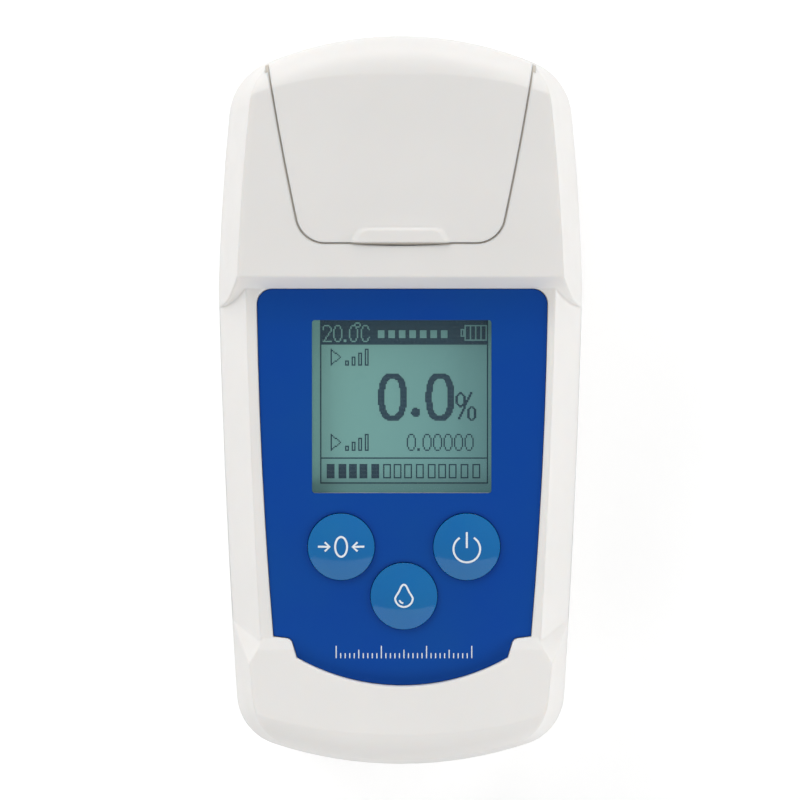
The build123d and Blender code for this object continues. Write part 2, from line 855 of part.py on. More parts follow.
def coil(x, y_base, facing):
    pitch = (spring_length - 2 * spring_wire) / spring_turns
    path = Helix(pitch, spring_length - 2 * spring_wire, spring_radius)
    section = RegularPolygon(spring_wire, spring_wire_sides)
    wire = sweep(Plane(origin=path @ 0, z_dir=path % 0) * section, path=path)
    return Pos(x, y_base + facing * spring_wire, cell_z) * Rot(-90 * facing, 0, 0) * wire


def battery_door_piece():
    top = foot_stand + door_thick
    door = span(-door_half_x, door_half_x, door_low_y, door_high_y, foot_stand, top)
    door = fillet(door.edges().filter_by(Axis.Z), door_corner)
    tab_low = floor_z + door_tab_gap
    tab_top = floor_z + door_tab_high
    for side in SIDES:
        low = side * door_tab_x - door_tab_half
        high = side * door_tab_x + door_tab_half
        root_y = bay_high_y - contact_thick
        door += span(low, high, root_y, door_high_y + door_tab_reach, tab_low, tab_top)
        door += span(low, high, root_y, root_y + door_tab_root, top - door_rib_deep, tab_top)
        # ridges that hold the cells
        x = side * cell_pitch / 2
        door += span(
            x - cell_rib_half, x + cell_rib_half, bay_low_y + cell_rib_inset,
            bay_high_y - cell_rib_inset, top - door_rib_deep, cell_z - cell_radius - cell_rib_gap,
        )
    for number in range(door_rib_count):
        y = door_low_y + door_rib_start + number * door_rib_pitch
        door -= span(
            -door_rib_half, door_rib_half, y, y + door_rib_width, 0, foot_stand + door_rib_deep
        )
    return door


def flat_cable():
    # from the sensor board down and forward to the underside of the main board
    sensor_back = block_high_y + sensor_board_thick
    top = sensor_board_low_z + cable_lead
    low = cable_low_z
    thick = cable_thick
    tilt = radians(panel_tilt)
    start_y = board_high_y - cable_board_lap
    under = (board_top - board_thick) / cos(tilt)
    start_z = panel_height + start_y * tan(tilt) + under
    end_z = start_z + cable_board_lap * tan(tilt)
    edge_y = board_high_y + cable_board_slack
    section = Polyline(
        (sensor_back, top), (sensor_back + thick, top), (sensor_back + thick, low - thick),
        (board_high_y + cable_lead, low - thick), (start_y, start_z - thick),
        (start_y, start_z), (board_high_y, end_z), (edge_y, end_z - thick),
        (edge_y + cable_drop, low), (sensor_back, low), (sensor_back, top),
    )
    return extrude(Plane.YZ * make_face(section), amount=cable_half_x, both=True)


def build():
    parts["front_shell"] = front_shell()
    parts["rear_shell"] = rear_shell()
    parts["case_gasket"] = gasket_ring(gasket_deep)
    parts["case_screws"] = group(case_screw(x, y) for x, y in case_posts)
    parts["rubber_feet"] = group(
        rod(foot_radius, 0, foot_stand + foot_recess, x, y) for x, y in feet_spots
    )
    label = slab(label_plan(0), label_floor, label_floor + label_thick)
    label -= slab(window_plan(0), label_floor - 1, 1)
    for x, y in key_spots.values():
        label -= panel * rod(key_bore, label_floor - 1, 1.0, x, y)
    parts["front_label"] = label
    parts["display_window"] = slab(window_plan(window_lap), window_low_w, label_floor)
    for name, (x, y) in key_spots.items():
        parts[name] = key_piece(x, y)
    glass_low = glass_top - glass_thick
    outer = window_plan(glass_lap + bezel_wall)
    body = window_plan(glass_lap)
    parts["display_glass"] = slab(body, glass_low, glass_top)
    parts["display_backlight"] = slab(body, board_top, glass_low)
    bezel = slab(outer, board_top, shell_under) - slab(body, board_top - 1, glass_top)
    bezel -= slab(window_plan(window_show), board_top - 1, 1)
    parts["display_bezel"] = bezel
    board = slab(
        Pos(0, (board_low_y + board_high_y) / 2)
        * Rectangle(2 * board_half_x, board_high_y - board_low_y),
        board_top - board_thick, board_top,
    )
    for x, y in board_posts:
        board -= panel * rod(
            board_screw_radius + hole_room, board_top - 2 * board_thick, board_top + 1, x, y
        )
    parts["main_board"] = board
    parts["board_screws"] = group(board_screw(x, y) for x, y in board_posts)
    switches = []
    for x, y in key_spots.values():
        base = Pos(x, y, board_top) * Box(switch_side, switch_side, switch_height, align=LOW)
        base += rod(switch_plunger_radius, board_top,
                    board_top + switch_height + switch_plunger_height, x, y)
        switches.append(panel * base)
    parts["key_switches"] = group(switches)
    parts["control_chip"] = panel * Pos(0, key_row_y - chip_step, board_top - board_thick) * Box(
        chip_side, chip_side, chip_thick, align=HIGH
    )
    parts["lid"] = lid_piece()
    parts["lid_hinge_pin"] = bar(pin_radius, -pin_half, pin_half, hinge_y, hinge_z)
    seal = rod(seal_outer, well_top_z, well_top_z + seal_height, 0, well_y)
    parts["lid_light_seal"] = seal - rod(seal_inner, 0, BIG / 4, 0, well_y)
    parts["sample_well"] = sample_well_piece()
    parts["prism"] = prism_piece()
    parts["optics_block"] = optics_block_piece()
    parts["optics_screws"] = group(optics_screw(x, y) for x, y in optics_posts)
    lamp_end = block_low_y + lamp_length
    lamp = bore_y(lamp_radius, block_low_y, lamp_end - lamp_tip, 0, lamp_z)
    lamp += Pos(0, lamp_end - lamp_radius, lamp_z) * Sphere(lamp_radius) & bore_y(
        lamp_radius, block_low_y, lamp_end, 0, lamp_z
    )
    lamp += bore_y(lamp_rim_radius, block_low_y - lamp_rim, block_low_y, 0, lamp_z)
    parts["lamp"] = lamp
    parts["focus_lens"] = bore_y(lens_radius, lens_y, lens_y + lens_thick, 0, lamp_z)
    parts["light_sensor"] = span(
        -sensor_half_x, sensor_half_x, block_high_y - sensor_depth, block_high_y,
        lamp_z - sensor_half_z, lamp_z + sensor_half_z,
    )
    parts["sensor_board"] = span(
        -sensor_board_half_x, sensor_board_half_x, block_high_y,
        block_high_y + sensor_board_thick, sensor_board_low_z, sensor_board_high_z,
    )
    parts["temperature_probe"] = rod(
        probe_radius, well_base_z - probe_length, well_base_z, probe_x, well_y
    )
    parts["battery_cells"] = group(
        battery_cell(side * cell_pitch / 2, side > 0) for side in SIDES
    )
    plates = []
    for side in SIDES:
        x = side * cell_pitch / 2
        for y in (bay_low_y, bay_high_y - contact_thick):
            plates.append(span(x - contact_half_x, x + contact_half_x, y, y + contact_thick,
                               contact_low_z, contact_high_z))
    parts["battery_contacts"] = group(plates)
    parts["battery_springs"] = group([
        coil(-cell_pitch / 2, bay_low_y + contact_thick, 1),
        coil(cell_pitch / 2, bay_high_y - contact_thick, -1),
    ])
    parts["battery_door"] = battery_door_piece()
    parts["flat_cable"] = flat_cable()


build()
os.makedirs("parts", exist_ok=True)
for name, shape in parts.items():
    export_step(shape, "parts/" + name + ".step")
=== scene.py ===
import json
import math

import bmesh
import bpy
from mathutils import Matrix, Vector


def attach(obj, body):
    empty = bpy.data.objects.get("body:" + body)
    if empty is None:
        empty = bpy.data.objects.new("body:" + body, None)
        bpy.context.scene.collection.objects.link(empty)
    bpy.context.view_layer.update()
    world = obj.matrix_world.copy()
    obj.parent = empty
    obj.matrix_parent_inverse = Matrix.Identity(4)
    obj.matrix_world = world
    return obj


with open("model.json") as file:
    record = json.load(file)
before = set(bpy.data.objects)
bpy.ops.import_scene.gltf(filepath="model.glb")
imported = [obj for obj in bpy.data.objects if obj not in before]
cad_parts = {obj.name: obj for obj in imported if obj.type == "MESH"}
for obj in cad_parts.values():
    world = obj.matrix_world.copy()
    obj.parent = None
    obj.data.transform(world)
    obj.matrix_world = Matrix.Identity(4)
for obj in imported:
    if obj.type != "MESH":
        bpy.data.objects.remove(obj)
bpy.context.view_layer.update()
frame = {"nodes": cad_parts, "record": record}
nodes = frame["nodes"]

MM = 0.001

# places and sizes repeated from the CAD, in millimetres
PANEL_HEIGHT = 28.6
PANEL_TILT = math.radians(3.2)
LABEL_SURFACE = -0.3
GLASS_TOP = -3.4
KEY_RADIUS = 5.9
KEY_RIM = 0.2
KEY_DOME = 1.3
KEY_CENTER_X = 0.6
KEY_PITCH = 22.2
KEY_ROW_Y = -26.0
KEY_LOW_Y = -34.75

# the lid's edge and the head's face around it, in millimetres
HEAD_FRONT_Y = 22.3
HEAD_FRONT_Z = 34.0
HEAD_TILT = math.radians(8.2)
HEAD_TOP_Z = 39.0
LID_END_CENTRE_Y = 3.0
LID_END_REACH = 61.2
LID_END_ROUND = 7.0
LID_FRONT_Y = 27.7
LID_REAR_Y = 60.4
LID_FRONT_HALF = 17.3
LID_REAR_HALF = 23.4
LID_BOW = 0.3
LID_CORNER = 5.0
TROUGH_HALF = 23.75
TROUGH_Y = 57.3

# the strip on the wall of the lid's pocket, whose brown-grey colour is painted shade of the lid's
# seam, in millimetres; its end as a part of the lid's side
SEAM_SHADE_CLEAR = 0.08
SEAM_SHADE_REACH = 0.4
SEAM_SHADE_SINK = 0.25
SEAM_SHADE_DEEP = 0.8
SEAM_SHADE_END_DEEP = 1.5
SEAM_SHADE_END = 0.951
CORNER_HALVINGS = 40
CORNER_STEPS = 12
SIDE_STEPS = 80

# the display's grid of square dots on the glass, in millimetres and dots
DOT_PITCH = 0.2325
DOT_FILL = 0.92
DISPLAY_LEFT = -14.25
DISPLAY_TOP = 14.03
DOTS = 128
HEADER_ROWS = 18
FRAME_END_ROW = 124
FRAME_RULE_ROW = 105

# lower and upper face of each print, in millimetres above the panel or the key's dome
PICTURE_LIFTS = (GLASS_TOP + 0.005, GLASS_TOP + 0.03)
TICK_LIFTS = (LABEL_SURFACE - 0.02, LABEL_SURFACE + 0.02)
STROKE_LIFTS = (-0.04, 0.035)

# the key signs, in millimetres from the middle of their key
STROKE_WIDTH = 0.36
DROP_STROKE_WIDTH = 0.34
STRAIGHT_STEPS = 10
DROP_STEPS = 48
DROP_RADIUS = 1.55
DROP_TIP = 0.55
DROP_WAIST = 0.35
DROP_SINK = 0.25

# the label's row of ticks, in millimetres: (every so many, height)
TICKS = 31
TICK_LEFT = -11.4
TICK_RIGHT = 12.6
TICK_FOOT = -45.8
TICK_HALF_WIDTH = 0.1
TICK_HEIGHTS = ((10, 2.2), (5, 1.5), (1, 0.9))

# the photograph's frame, in millimetres
VIEW_CENTER = Vector((-0.1, 0.0, 0.0))
VIEW_WIDTH = 142.9
WIDEST_HEIGHT = 15.0
CAMERA_DISTANCE = 1200.0
SENSOR = 36.0

# the studio, in metres
LAMP_TARGET = (0, 0, 0.02)
FLOOR_SIZE = 6.0
FLOOR_DROP = 0.0002
FLOOR_GREY = 0.82
FLOOR_GLOW = 0.3
AMBIENT = 0.1
CLIP_START = 0.05
CLIP_END = 20.0

# sockets of a mix node that mixes colours
MIX_SHARE = 0
MIX_FIRST = 6
MIX_SECOND = 7
MIX_RESULT = 2

EVEN = (1, 1, 1)


def panel_point(x, y, lift):
    """A point of the key panel in metres: x and y along it, lift above its surface."""
    c, s = math.cos(PANEL_TILT), math.sin(PANEL_TILT)
    return Vector((x, y * c - lift * s, PANEL_HEIGHT + y * s + lift * c)) * MM


class Shader:
    """A Principled material with short calls for the texture nodes that feed it."""

    def __init__(self, name, color, roughness, metallic=0.0, specular=0.5, alpha=1.0):
        self.material = bpy.data.materials.new(name)
        self.material.use_nodes = True
        self.tree = self.material.node_tree
        self.surface = self.tree.nodes["Principled BSDF"]
        self.set("Base Color", (*color, 1.0))
        self.set("Roughness", roughness)
        self.set("Metallic", metallic)
        self.set("Specular IOR Level", specular)
        self.set("Alpha", alpha)
        coordinates = self.tree.nodes.new("ShaderNodeTexCoord")
        self.place = coordinates.outputs["Object"]
        self.share = coordinates.outputs["Generated"]
        self.normal = None

    def set(self, socket, value):
        self.surface.inputs[socket].default_value = value
        return self

    def node(self, kind, **inputs):
        made = self.tree.nodes.new(kind)
        for socket, value in inputs.items():
            made.inputs[socket.replace("_", " ")].default_value = value
        return made

    def join(self, start, end):
        self.tree.links.new(start, end)

    def noise(self, size_mm, detail, stretch):
        made = self.node("ShaderNodeTexNoise", Scale=1.0 / (size_mm * MM), Detail=detail)
        scaled = self.node("ShaderNodeMapping", Scale=stretch)
        self.join(self.place, scaled.inputs["Vector"])
        self.join(scaled.outputs["Vector"], made.inputs["Vector"])
        return made.outputs["Fac"]

    def remap(self, source, low, high, start=0.3, end=0.7):
        """Spreads start to end over low to high; the defaults are noise's usual span."""
        made = self.node(
            "ShaderNodeMapRange", From_Min=start, From_Max=end, To_Min=low, To_Max=high
        )
        self.join(source, made.inputs["Value"])
        return made.outputs["Result"]

    def blend(self, first, second, share):
        mix = self.tree.nodes.new("ShaderNodeMix")
        mix.data_type = "RGBA"
        mix.inputs[MIX_FIRST].default_value = (*first, 1.0)
        mix.inputs[MIX_SECOND].default_value = (*second, 1.0)
        self.join(share, mix.inputs[MIX_SHARE])
        self.join(mix.outputs[MIX_RESULT], self.surface.inputs["Base Color"])
        return self

    def tint(self, first, second, size_mm, stretch=EVEN):
        """Colour that drifts between two close tones."""
        drift = self.noise(size_mm, 4.0, stretch)
        return self.blend(first, second, self.remap(drift, 0.0, 1.0))

    def fade(self, first, second, direction, start, end):
        """Colour that runs from one tone to another across the whole piece."""
        along = self.tree.nodes.new("ShaderNodeVectorMath")
        along.operation = "DOT_PRODUCT"
        along.inputs[1].default_value = direction
        self.join(self.share, along.inputs[0])
        return self.blend(first, second, self.remap(along.outputs["Value"], 0.0, 1.0, start, end))

    def dot_grid(self, ink, gap):
        """The display's dots with fine gaps between them, in the plane of the key panel."""
        size = DOT_PITCH * MM
        lined = self.node(
            "ShaderNodeMapping",
            Scale=(1 / size, math.cos(PANEL_TILT) / size, 0),
            Location=(-DISPLAY_LEFT / DOT_PITCH, -DISPLAY_TOP / DOT_PITCH, 0),
        )
        self.join(self.place, lined.inputs["Vector"])
        dots = self.node(
            "ShaderNodeTexBrick",
            Color1=(*ink[0], 1),
            Color2=(*ink[1], 1),
            Mortar=(*gap, 1),
            Scale=1.0,
            Mortar_Size=0.1,
            Mortar_Smooth=0.4,
            Brick_Width=1.0,
            Row_Height=1.0,
        )
        dots.offset = 0.0
        dots.squash = 1.0
        self.join(lined.outputs["Vector"], dots.inputs["Vector"])
        self.join(dots.outputs["Color"], self.surface.inputs["Base Color"])
        return self

    def rough(self, low, high, size_mm, stretch=EVEN):
        """Roughness that drifts between two values."""
        drift = self.remap(self.noise(size_mm, 5.0, stretch), low, high)
        self.join(drift, self.surface.inputs["Roughness"])
        return self

    def soft_edges(self, radius_mm):
        bevel = self.node("ShaderNodeBevel", Radius=radius_mm * MM)
        bevel.samples = 6
        self.normal = bevel.outputs["Normal"]
        self.join(self.normal, self.surface.inputs["Normal"])
        return self

    def bump(self, size_mm, height_mm, strength, stretch=EVEN):
        made = self.node("ShaderNodeBump", Strength=strength, Distance=height_mm * MM)
        self.join(self.noise(size_mm, 2.0, stretch), made.inputs["Height"])
        if self.normal:
            self.join(self.normal, made.inputs["Normal"])
        self.normal = made.outputs["Normal"]
        self.join(self.normal, self.surface.inputs["Normal"])
        return self


def moulded(name, light, dark, roughness, edge, grain=0.3, milky=0.0):
    """Injection moulded plastic: fine grain, slow drift of tone and softened edges."""
    shader = Shader(name, light, roughness)
    shader.tint(light, dark, size_mm=22.0)
    shader.rough(roughness - 0.05, roughness + 0.07, size_mm=6.0)
    shader.set("Subsurface Weight", milky)
    shader.set("Subsurface Radius", (1.0, 0.8, 0.65))
    shader.set("Subsurface Scale", 1.2 * MM)
    return shader.soft_edges(edge).bump(grain, height_mm=0.012, strength=0.55).material


def metal(name, color, roughness, stretch):
    """Metal with fine scratches across the way that has the largest stretch."""
    shader = Shader(name, color, roughness, metallic=1.0)
    worn = tuple(0.86 * part for part in color)
    shader.tint(color, worn, size_mm=3.0, stretch=stretch)
    shader.rough(roughness - 0.06, roughness + 0.12, size_mm=1.2, stretch=stretch)
    shader.soft_edges(0.12)
    return shader.bump(0.35, height_mm=0.004, strength=0.5, stretch=stretch).material


def rubber(name, color):
    lighter = tuple(part * 1.5 + 0.01 for part in color)
    shader = Shader(name, color, 0.75, specular=0.3).tint(color, lighter, size_mm=5.0)
    return shader.soft_edges(0.2).bump(0.35, height_mm=0.02, strength=0.6).material


def gloss(name, light, dark, roughness, drift=8.0, coat=0.0, specular=0.5):
    """A smooth sheet, lacquer or resin, with a faint waviness."""
    shader = Shader(name, light, roughness, specular=specular)
    shader.tint(light, dark, size_mm=drift)
    shader.rough(roughness - 0.03, roughness + 0.05, size_mm=5.0)
    shader.set("Coat Weight", coat)
    shader.set("Coat Roughness", 0.06)
    return shader.soft_edges(0.15).bump(1.6, height_mm=0.004, strength=0.35).material


def clear(name, color, alpha, roughness=0.05, specular=0.5):
    shader = Shader(name, color, roughness, specular=specular, alpha=alpha)
    shader.rough(roughness, roughness + 0.05, size_mm=9.0)
    return shader.bump(4.0, height_mm=0.003, strength=0.2).material


def display_cell():
    """The glass of the display, which darkens across it as in the photograph."""
    shader = Shader("display_cell", (0.16, 0.34, 0.31), 0.3, specular=0.1)
    # painted light and shade: lighter at the top against the head's shadow, darker towards the
    # lower right
    shader.fade((0.190, 0.405, 0.370), (0.120, 0.275, 0.280), (0.75, -0.25, 0), -0.2, 0.75)
    shader.rough(0.26, 0.36, size_mm=5.0)
    return shader.bump(1.6, height_mm=0.004, strength=0.35).material


def display_ink():
    tones = (0.004, 0.020, 0.042), (0.007, 0.026, 0.050)
    shader = Shader("display_ink", tones[0], 0.4, specular=0.1)
    shader.dot_grid(tones, gap=(0.038, 0.096, 0.130))
    return shader.rough(0.36, 0.46, size_mm=5.0).material


PALETTE = {
    "case_white": moulded(
        "case_plastic", (0.80, 0.785, 0.765), (0.775, 0.762, 0.742), 0.42, edge=0.7, milky=0.4
    ),
    "label_blue": gloss(
        "label_film", (0.001, 0.050, 0.30), (0.002, 0.058, 0.285), 0.34, 18.0, specular=0.15
    ),
    "window_clear": clear("window_sheet", (0.82, 0.95, 0.92), 0.015, specular=0.1),
    "display_grey": display_cell(),
    "light_guide": gloss("light_guide", (0.75, 0.82, 0.78), (0.7, 0.78, 0.74), 0.25),
    "black_plastic": moulded(
        "black_plastic", (0.022, 0.022, 0.024), (0.03, 0.03, 0.032), 0.5, edge=0.15, grain=0.25
    ),
    "key_blue": gloss(
        "key_resin", (0.001, 0.128, 0.385), (0.002, 0.138, 0.372), 0.1, 7.0, specular=0.2
    ),
    "board_green": gloss("solder_mask", (0.012, 0.13, 0.055), (0.018, 0.17, 0.075), 0.3, 2.0),
    "steel": metal("plain_steel", (0.52, 0.52, 0.53), 0.32, (1, 1, 6)),
    "stainless": metal("turned_stainless", (0.66, 0.66, 0.67), 0.2, (1, 1, 14)),
    "rubber_black": rubber("rubber_black", (0.018, 0.018, 0.019)),
    "rubber_grey": rubber("rubber_grey", (0.10, 0.10, 0.105)),
    "prism_glass": clear("prism_glass", (0.70, 0.82, 0.86), 0.45, 0.03),
    "block_black": metal("black_anodised", (0.035, 0.035, 0.037), 0.38, (4, 1, 1)),
    "lamp_clear": gloss("lamp_resin", (0.8, 0.45, 0.07), (0.75, 0.38, 0.05), 0.08, 2.0, coat=0.5),
    "lens_glass": clear("lens_glass", (0.72, 0.8, 0.9), 0.45, 0.03),
    "cell_jacket": gloss("cell_jacket", (0.05, 0.055, 0.06), (0.07, 0.075, 0.08), 0.25, 12.0),
    "nickel": metal("bright_nickel", (0.72, 0.70, 0.66), 0.16, (1, 5, 1)),
    "cable_amber": gloss("cable_film", (0.42, 0.17, 0.025), (0.36, 0.13, 0.02), 0.28, 4.0),
}
slot_of = {row["node"]: row["material_slot"] for row in frame["record"]["subparts"]}
for name, thing in nodes.items():
    finish = PALETTE[slot_of[name]]
    if not thing.material_slots:
        thing.data.materials.append(finish)
    for place in thing.material_slots:
        place.material = finish

WHITE_INK = gloss("white_ink", (0.80, 0.84, 0.88), (0.74, 0.79, 0.84), 0.35, 1.5)
DARK_INK = display_ink()
# a brown-grey strip in the lid's gap: painted shade of the seam
SEAM_SHADE = moulded("painted_seam_shade", (0.56, 0.52, 0.46), (0.52, 0.48, 0.42), 0.7, edge=0.05)


def add_piece(name, shape, material, body):
    """Ends a shape and makes it a piece that rides on a body."""
    bmesh.ops.recalc_face_normals(shape, faces=shape.faces)
    mesh = bpy.data.meshes.new(name)
    shape.to_mesh(mesh)
    shape.free()
    piece = bpy.data.objects.new(name, mesh)
    bpy.context.scene.collection.objects.link(piece)
    mesh.materials.append(material)
    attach(piece, body)


def sweep(shape, rows, closed=False):
    """Adds a solid with four sides through rows of four corners each."""
    rows = [[shape.verts.new(spot) for spot in row] for row in rows]
    for i in range(len(rows) if closed else len(rows) - 1):
        first, second = rows[i], rows[(i + 1) % len(rows)]
        for k in range(4):
            n = (k + 1) % 4
            shape.faces.new((first[k], first[n], second[n], second[k]))
    if not closed:
        shape.faces.new(rows[0])
        shape.faces.new(rows[-1][::-1])


def print_box(shape, lifts, x0, y0, x1, y1):
    """Adds a flat box of print on the key panel, between two lifts."""
    corners = (x0, y0), (x1, y0), (x1, y1), (x0, y1)
    sweep(shape, [[panel_point(x, y, lift) for x, y in corners] for lift in lifts])


# strokes of each sign of the display's small print, with the dots that it takes up
STROKES = {
    "0": (8, [[(2, 0), (4, 0), (6, 3), (6, 9), (4, 12), (2, 12), (0, 9), (0, 3), (2, 0)]]),
    "2": (8, [[(0, 9), (0, 11), (2, 12), (4, 12), (6, 10), (6, 8), (0, 0), (6, 0)]]),
    ".": (4, [[(0, 0), (1, 0), (1, 1), (0, 1), (0, 0)]]),
    "C": (8, [[(6, 9), (4, 12), (2, 12), (0, 9), (0, 3), (2, 0), (4, 0), (6, 3)]]),
    "o": (5, [[(1, 14), (3, 14), (4, 13), (3, 11), (1, 11), (0, 13), (1, 14)]]),
}


def line_dots(start, end):
    steps = max(abs(end[0] - start[0]), abs(end[1] - start[1]), 1)
    for step in range(steps + 1):
        yield (
            round(start[0] + (end[0] - start[0]) * step / steps),
            round(start[1] + (end[1] - start[1]) * step / steps),
        )


def path_dots(path, left, base):
    """Dots of a path whose points count up from its base; the rows count down."""
    return {
        (left + x, base - y)
        for start, end in zip(path, path[1:])
        for x, y in line_dots(start, end)
    }


def text_dots(text, left, base):
    dots = set()
    for letter in text:
        advance, paths = STROKES[letter]
        for path in paths:
            dots |= path_dots(path, left, base)
        left += advance
    return dots


def within(x, y, rx, ry, power):
    return (abs(x) / rx) ** power + (abs(y) / ry) ** power < 1


def ring_dots(cx, cy, rx, ry, inner_x=0, inner_y=0, power=2.0):
    """Dots of an oval, or of a ring where it has an inner oval."""
    dots = set()
    for x in range(int(cx - rx), int(cx + rx) + 2):
        for y in range(int(cy - ry), int(cy + ry) + 2):
            hollow = inner_x and within(x - cx, y - cy, inner_x, inner_y, power)
            if within(x - cx, y - cy, rx, ry, power) and not hollow:
                dots.add((x, y))
    return dots


def box_dots(x0, y0, x1, y1, filled=False):
    return {
        (x, y)
        for x in range(x0, x1 + 1)
        for y in range(y0, y1 + 1)
        if filled or x in (x0, x1) or y in (y0, y1)
    }


def display_dots():
    """The dark dots of the display's picture: column from the left, row from the top."""
    # the header, with a temperature, dashes and a battery left open in it
    header = box_dots(0, 0, DOTS - 1, HEADER_ROWS - 1, filled=True)
    header -= text_dots("20.0", 2, 16) | text_dots("oC", 26, 16)
    header -= box_dots(110, 4, 126, 15) | box_dots(107, 7, 109, 12)
    for bar in (114, 118, 122):
        header -= box_dots(bar, 4, bar, 15)
    for dash in range(44, 97, 8):
        header -= box_dots(dash, 8, dash + 4, 13, filled=True)
    dots = header | box_dots(0, HEADER_ROWS, DOTS - 1, FRAME_END_ROW)
    dots |= {(x, FRAME_RULE_ROW) for x in range(DOTS)}
    # the large reading with its point and percent sign
    for cx in (54.6, 90.8):
        dots |= ring_dots(cx, 58.4, 10.9, 18.4, 5.9, 14.0, power=2.5)
    dots |= ring_dots(72.3, 70.2, 3.5, 3.5)
    for left in (105, 106):
        dots |= path_dots([(0, 0), (9, 20)], left, 75)
    for cx, cy in ((106.5, 60.5), (115.0, 71.0)):
        dots |= ring_dots(cx, cy, 3.9, 5.7, 1.9, 4.2)
    # the small reading, two markers with rising bars, and the progress blocks
    dots |= text_dots("0.00000", 66, 99)
    for base in (34, 99):
        dots |= path_dots([(0, 0), (0, 12), (7, 6), (0, 0)], 8, base)
        for bar in range(4):
            left = 19 + 5 * bar
            dots |= box_dots(left, base - 3 * (bar + 1), left + 2, base)
    for block in range(14):
        left = round(5 + block * 8.5)
        dots |= box_dots(left, 110, left + 5, 120, filled=block < 5)
    return dots


def dot_runs(dots):
    """Joins the dots of each row into runs: row, first and last column."""
    for row in sorted({y for _, y in dots}):
        line = sorted(x for x, y in dots if y == row)
        start = previous = line[0]
        for x in line[1:] + [None]:
            if x is not None and x == previous + 1:
                previous = x
                continue
            yield row, start, previous
            start = previous = x


def make_display():
    shape = bmesh.new()
    margin = DOT_PITCH * (1 - DOT_FILL) / 2
    for row, start, end in dot_runs(display_dots()):
        top = DISPLAY_TOP - row * DOT_PITCH - margin
        low = DISPLAY_TOP - (row + 1) * DOT_PITCH + margin
        left = DISPLAY_LEFT + start * DOT_PITCH + margin
        right = DISPLAY_LEFT + (end + 1) * DOT_PITCH - margin
        print_box(shape, PICTURE_LIFTS, left, low, right, top)
    add_piece("display_picture", shape, DARK_INK, "body")


def dome_height(x, y):
    """Height of a key's dome above the panel, at x and y from the key's middle."""
    ball = (KEY_RADIUS**2 + KEY_DOME**2) / (2 * KEY_DOME)
    return KEY_RIM + KEY_DOME - ball + math.sqrt(ball**2 - x * x - y * y)


def stroke_piece(name, key_x, key_y, paths, width, body):
    """Printed strokes that follow a key's dome, from paths that are closed or open."""
    sink, rise = STROKE_LIFTS
    shape = bmesh.new()
    for path, closed in paths:
        count = len(path)
        rows = []
        for i, point in enumerate(path):
            before = path[i - 1] if i or closed else point
            after = path[(i + 1) % count] if i < count - 1 or closed else point
            along = (Vector(after) - Vector(before)).normalized()
            across = Vector((-along.y, along.x)) * width / 2
            row = []
            for side, lift in ((1, rise), (-1, rise), (-1, sink), (1, sink)):
                x = point[0] + across.x * side
                y = point[1] + across.y * side
                row.append(panel_point(key_x + x, key_y + y, dome_height(x, y) + lift))
            rows.append(row)
        sweep(shape, rows, closed)
    add_piece(name, shape, WHITE_INK, body)


def arc(cx, cy, rx, ry, start, end, steps):
    points = []
    for step in range(steps + 1):
        turn = math.radians(start + (end - start) * step / steps)
        points.append((cx + rx * math.cos(turn), cy + ry * math.sin(turn)))
    return points


def straight(x0, y0, x1, y1):
    return [
        (x0 + (x1 - x0) * i / STRAIGHT_STEPS, y0 + (y1 - y0) * i / STRAIGHT_STEPS)
        for i in range(STRAIGHT_STEPS + 1)
    ]


def drop():
    """Outline of a drop with its tip up."""
    points = []
    for step in range(DROP_STEPS):
        turn = 2 * math.pi * step / DROP_STEPS
        upper = max(math.sin(turn), 0)
        reach = DROP_RADIUS * (1 + DROP_TIP * upper**6)
        x = reach * math.cos(turn) * (1 - DROP_WAIST * upper)
        points.append((x, reach * math.sin(turn) - DROP_SINK))
    return points


def make_key_marks():
    left = KEY_CENTER_X - KEY_PITCH / 2
    right = KEY_CENTER_X + KEY_PITCH / 2
    # a zero between two arrows
    zero = [(arc(0, 0.1, 1.05, 1.75, 0, 351, 39), True)]
    for side in (-1, 1):
        zero.append((straight(side * 4.1, 0.1, side * 2.0, 0.1), False))
        head = [(side * 2.9, 0.9), (side * 2.0, 0.1), (side * 2.9, -0.7)]
        zero.append((head, False))
    stroke_piece("zero_mark", left, KEY_ROW_Y, zero, STROKE_WIDTH, "zero_key")
    # the power sign
    power = [(arc(0, -0.3, 2.35, 2.35, 122, 418, 60), False)]
    power.append((straight(0, 2.7, 0, -0.1), False))
    stroke_piece("power_mark", right, KEY_ROW_Y, power, STROKE_WIDTH, "power_key")
    # a drop with a glint in it
    measure = [(drop(), True), (arc(0, -0.3, 0.85, 0.85, 200, 262, 8), False)]
    stroke_piece(
        "measure_mark", KEY_CENTER_X, KEY_LOW_Y, measure, DROP_STROKE_WIDTH, "meas_key"
    )


def make_label_scale():
    """A row of fine ticks in the place of the label's line of print."""
    shape = bmesh.new()
    for number in range(TICKS):
        x = TICK_LEFT + (TICK_RIGHT - TICK_LEFT) * number / (TICKS - 1)
        tall = next(height for every, height in TICK_HEIGHTS if number % every == 0)
        left, right = x - TICK_HALF_WIDTH, x + TICK_HALF_WIDTH
        print_box(shape, TICK_LIFTS, left, TICK_FOOT, right, TICK_FOOT + tall)
    add_piece("label_scale", shape, WHITE_INK, "body")


def lid_side(part):
    """A point of the lid's right edge, from its front (0) to its rear (1)."""
    wide = LID_FRONT_HALF + (LID_REAR_HALF - LID_FRONT_HALF) * part
    bow = 4 * LID_BOW * part * (1 - part)
    return Vector((wide + bow, LID_FRONT_Y + (LID_REAR_Y - LID_FRONT_Y) * part))


def lid_side_out(part):
    """The way outwards, square to the lid's right edge."""
    along = lid_side(part + 0.001) - lid_side(part - 0.001)
    return Vector((along.y, -along.x)).normalized()


def corner_centre(part):
    """The middle of a front corner that would run into the lid's side at this part."""
    return lid_side(part) - lid_side_out(part) * LID_CORNER


